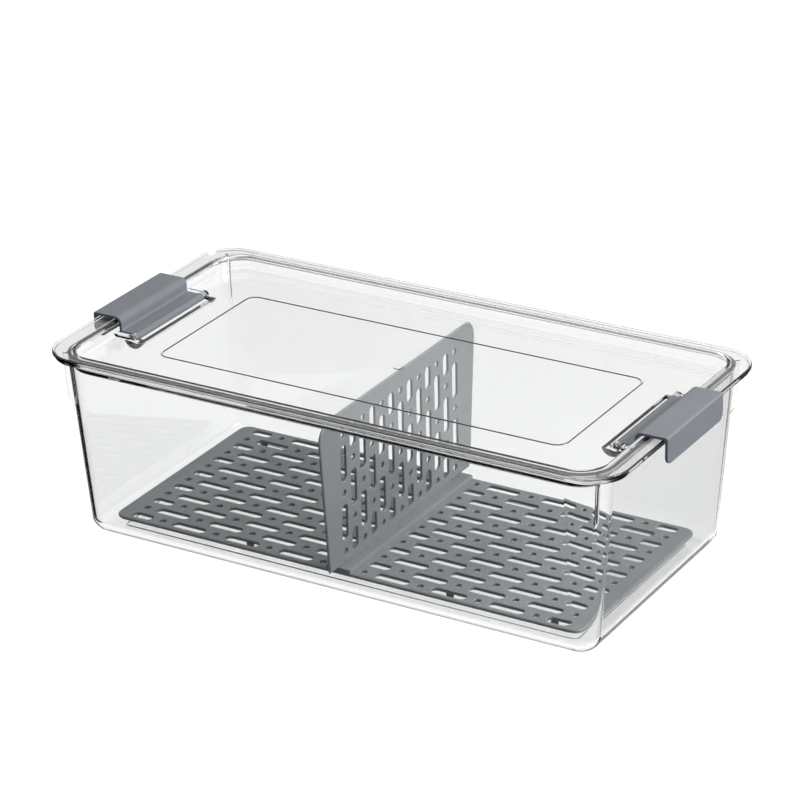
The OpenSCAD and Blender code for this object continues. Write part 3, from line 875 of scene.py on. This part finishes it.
def clear_moulding(name):
    material = bpy.data.materials.new(name)
    material.use_nodes = True
    tree = material.node_tree
    shader = tree.nodes["Principled BSDF"]
    shader.inputs["Transmission Weight"].default_value = 1.0
    shader.inputs["IOR"].default_value = CLEAR_IOR
    place = tree.nodes.new("ShaderNodeTexCoord").outputs["Object"]
    waves = noise(tree, place, scale=22, detail=1)
    flow = noise(tree, place, scale=60, detail=3)
    tree.links.new(remap(tree, flow, (0.35, 0.7), (0.0, 0.03)), shader.inputs["Roughness"])
    tint = tree.nodes.new("ShaderNodeMix")
    tint.data_type = "RGBA"
    tree.links.new(flow, tint.inputs["Factor"])
    colours = [s for s in tint.inputs if s.type == "RGBA"]
    colours[0].default_value, colours[1].default_value = CLEAR_DEEP, CLEAR_PALE
    shade = next(s for s in tint.outputs if s.type == "RGBA")
    tree.links.new(shade, shader.inputs["Base Color"])
    bump = tree.nodes.new("ShaderNodeBump")
    bump.inputs["Strength"].default_value = WAVE_STRENGTH
    bump.inputs["Distance"].default_value = WAVE_HEIGHT
    tree.links.new(waves, bump.inputs["Height"])
    tree.links.new(bump.outputs["Normal"], shader.inputs["Normal"])
    path = tree.nodes.new("ShaderNodeLightPath")
    either = tree.nodes.new("ShaderNodeMath")
    either.operation = "MAXIMUM"
    tree.links.new(path.outputs["Is Shadow Ray"], either.inputs[0])
    tree.links.new(path.outputs["Is Diffuse Ray"], either.inputs[1])
    through = tree.nodes.new("ShaderNodeBsdfTransparent")
    through.inputs["Color"].default_value = CLEAR_SHADOW
    mix = tree.nodes.new("ShaderNodeMixShader")
    tree.links.new(either.outputs[0], mix.inputs[0])
    tree.links.new(shader.outputs[0], mix.inputs[1])
    tree.links.new(through.outputs[0], mix.inputs[2])
    tree.links.new(mix.outputs[0], tree.nodes["Material Output"].inputs["Surface"])
    return material


clear_plastic = clear_moulding("clear_plastic")
print("clear material nodes:", len(clear_plastic.node_tree.nodes))

# %% [markdown]
# Dress the bodies
#
# Each new piece stands for one imported solid. It rides on that solid's body, so the lid lifts and the clips
# swing in the visual model as they do in the simulation.

# %% Ride, replace and give each piece its material
DRESSING = [
    (tub, "tub", "clear_plastic", clear_plastic),
    (lid, "lid", "clear_plastic", clear_plastic),
    (clip_left, "clip_left", "clip_grey", clip_grey),
    (clip_right, "clip_right", "clip_grey", clip_grey),
    (tray, "drain_tray", "tray_grey", tray_grey),
    (divider, "divider", "divider_grey", divider_grey),
]
for obj, node, slot, material in DRESSING:
    obj.data.materials.clear()
    obj.data.materials.append(material)
    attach(obj, node)
    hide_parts(node)
print("dressed:", [obj.name for obj, node, slot, material in DRESSING])

# %% [markdown]
# The studio floor
#
# The box stands on a white floor that melts into a white background. A floor of plain white would also throw
# its light up at the box and wash out the greys. So this floor glows only for rays that show the background,
# and what it sends back of the lamps' light is little, because its matt part is dark.

# %% Lay the floor
FLOOR_HALF, FLOOR_LEVEL = 4, -0.5 * MM
FLOOR_GREY = 0.1
WHITE = (1, 1, 1, 1)


def seen_directly(tree):
    """One for rays that show the background: from the camera, mirrored or through clear plastic."""
    path = tree.nodes.new("ShaderNodeLightPath")
    value = path.outputs["Is Camera Ray"]
    for name in ("Is Glossy Ray", "Is Transmission Ray"):
        step = tree.nodes.new("ShaderNodeMath")
        step.operation = "MAXIMUM"
        tree.links.new(value, step.inputs[0])
        tree.links.new(path.outputs[name], step.inputs[1])
        value = step.outputs[0]
    return value


def stage_plane(name, half_size, place):
    bm = bmesh.new()
    sized = place @ Matrix.Diagonal((*half_size, 1, 1))
    bmesh.ops.create_grid(bm, x_segments=1, y_segments=1, size=1, matrix=sized)
    obj = new_piece(name, bm)
    return obj


def glowing_white(name):
    material = bpy.data.materials.new(name)
    material.use_nodes = True
    tree = material.node_tree
    tree.nodes.remove(tree.nodes["Principled BSDF"])
    matt = tree.nodes.new("ShaderNodeBsdfDiffuse")
    matt.inputs["Color"].default_value = (FLOOR_GREY, FLOOR_GREY, FLOOR_GREY, 1)
    glow = tree.nodes.new("ShaderNodeEmission")
    glow.inputs["Color"].default_value = WHITE
    tree.links.new(seen_directly(tree), glow.inputs["Strength"])
    both = tree.nodes.new("ShaderNodeAddShader")
    tree.links.new(matt.outputs[0], both.inputs[0])
    tree.links.new(glow.outputs[0], both.inputs[1])
    tree.links.new(both.outputs[0], tree.nodes["Material Output"].inputs["Surface"])
    return material


floor = stage_plane("floor", (FLOOR_HALF, FLOOR_HALF), Matrix.Translation((0, 0, FLOOR_LEVEL)))
floor.data.materials.append(glowing_white("floor_white"))
print("floor:", floor.name, "with", floor.data.materials[0].name)

# %% [markdown]
# The cards
#
# Clear plastic only shows where it bends something dark into view, so a photographer stands dark cards round
# it. Here dark cards lie on the floor in front of the box and on its left, a grey one lies on its right, and
# a low strip stands behind it. Further back stands a pale card that takes some of the shine off the lid. The
# cards are hidden from the camera, cast no shadow and only show in mirrored light: as dark lines in the
# clear edges, and as walls that don't mirror the white floor.

# %% Set up the cards
CARD_LEVEL = -0.3 * MM
CARD_ROUGHNESS, CARD_SPECULAR = 0.9, 0.1
BLACK, MIDDLE_GREY, PALE_GREY = 0.01, 0.15, 0.92


def mirrored_card(name, half_size, place, grey):
    """Shows only in light that was mirrored on its way, so a look straight through the box stays white."""
    obj = stage_plane(name, half_size, place)
    material = bpy.data.materials.new(name)
    material.use_nodes = True
    tree = material.node_tree
    shader = tree.nodes["Principled BSDF"]
    shader.inputs["Base Color"].default_value = (grey, grey, grey, 1)
    shader.inputs["Roughness"].default_value = CARD_ROUGHNESS
    shader.inputs["Specular IOR Level"].default_value = CARD_SPECULAR
    through = tree.nodes.new("ShaderNodeBsdfTransparent")
    mix = tree.nodes.new("ShaderNodeMixShader")
    path = tree.nodes.new("ShaderNodeLightPath")
    tree.links.new(path.outputs["Glossy Depth"], mix.inputs[0])
    tree.links.new(through.outputs[0], mix.inputs[1])
    tree.links.new(shader.outputs[0], mix.inputs[2])
    tree.links.new(mix.outputs[0], tree.nodes["Material Output"].inputs["Surface"])
    obj.data.materials.append(material)
    obj.visible_camera = False
    obj.visible_shadow = False
    obj.visible_diffuse = False
    return obj


def card_on_floor(name, half_size, at, turn_deg, grey):
    turn = Matrix.Rotation(math.radians(turn_deg), 4, "Z")
    return mirrored_card(name, half_size, Matrix.Translation((*at, CARD_LEVEL)) @ turn, grey)


upright = Matrix.Rotation(math.pi / 2, 4, "X")
to_camera = Matrix.Rotation(AZIMUTH, 4, "Z")
behind_box = Matrix.Translation((-0.25, 0.3, 0.09)) @ upright
mirrored_by_lid = Matrix.Translation((-0.31, 0.51, 0.45)) @ to_camera @ upright
cards = [
    card_on_floor("front_floor_card", (0.6, 0.148), at=(0, -0.222), turn_deg=0, grey=BLACK),
    card_on_floor("left_floor_card", (0.25, 0.15), at=(-0.386, -0.038), turn_deg=135, grey=BLACK),
    card_on_floor("right_floor_card", (0.164, 0.25), at=(0.315, 0.15), turn_deg=0, grey=MIDDLE_GREY),
    mirrored_card("back_card", (0.8, 0.04), behind_box, BLACK),
    mirrored_card("lid_card", (0.8, 0.3), mirrored_by_lid, PALE_GREY),
]
print("cards:", [card.name for card in cards])

# %% [markdown]
# The surroundings
#
# Beyond the floor everything is white. As with the floor, only rays that show the background get the full
# white. All others get a weaker light from every side, so that the lamps can still shape the box.

# %% Surround the stage with white
AMBIENT = 0.26

world = bpy.data.worlds.new("white_room")
bpy.context.scene.world = world
world.use_nodes = True
tree = world.node_tree
ambient = tree.nodes["Background"]
ambient.inputs["Color"].default_value = WHITE
ambient.inputs["Strength"].default_value = AMBIENT
white = tree.nodes.new("ShaderNodeBackground")
white.inputs["Color"].default_value = WHITE
white.inputs["Strength"].default_value = 1.0
mix = tree.nodes.new("ShaderNodeMixShader")
tree.links.new(seen_directly(tree), mix.inputs[0])
tree.links.new(ambient.outputs[0], mix.inputs[1])
tree.links.new(white.outputs[0], mix.inputs[2])
tree.links.new(mix.outputs[0], tree.nodes["World Output"].inputs["Surface"])
print("surroundings:", world.name, "with ambient light", AMBIENT)

# %% [markdown]
# The lamps
#
# Two large soft lamps light the box: one above and a little behind, and one from the right-hand end. Large
# lamps give the soft edges and even tops that the photograph shows.

# %% Lamps


def soft_lamp(name, place, aim, size, watts):
    data = bpy.data.lights.new(name, "AREA")
    data.shape = "SQUARE"
    data.size, data.energy = size, watts
    obj = bpy.data.objects.new(name, data)
    obj.location = place
    obj.rotation_mode = "QUATERNION"
    obj.rotation_quaternion = (Vector(aim) - Vector(place)).to_track_quat("-Z", "Y")
    bpy.context.scene.collection.objects.link(obj)
    return obj


top_lamp = soft_lamp("top_lamp", place=(0.1, 0.3, 1.3), aim=(0, 0, 0.05), size=0.9, watts=4.5)
right_lamp = soft_lamp("right_lamp", place=(1.15, 0.2, 0.72), aim=(0.05, 0, 0.06), size=0.6, watts=16)
print("lamps:", top_lamp.data.energy, "W and", right_lamp.data.energy, "W")

# %% [markdown]
# Finish
#
# The view is set to plain colours.

# %% Set plain colours and finish
bpy.context.scene.view_settings.view_transform = "Standard"
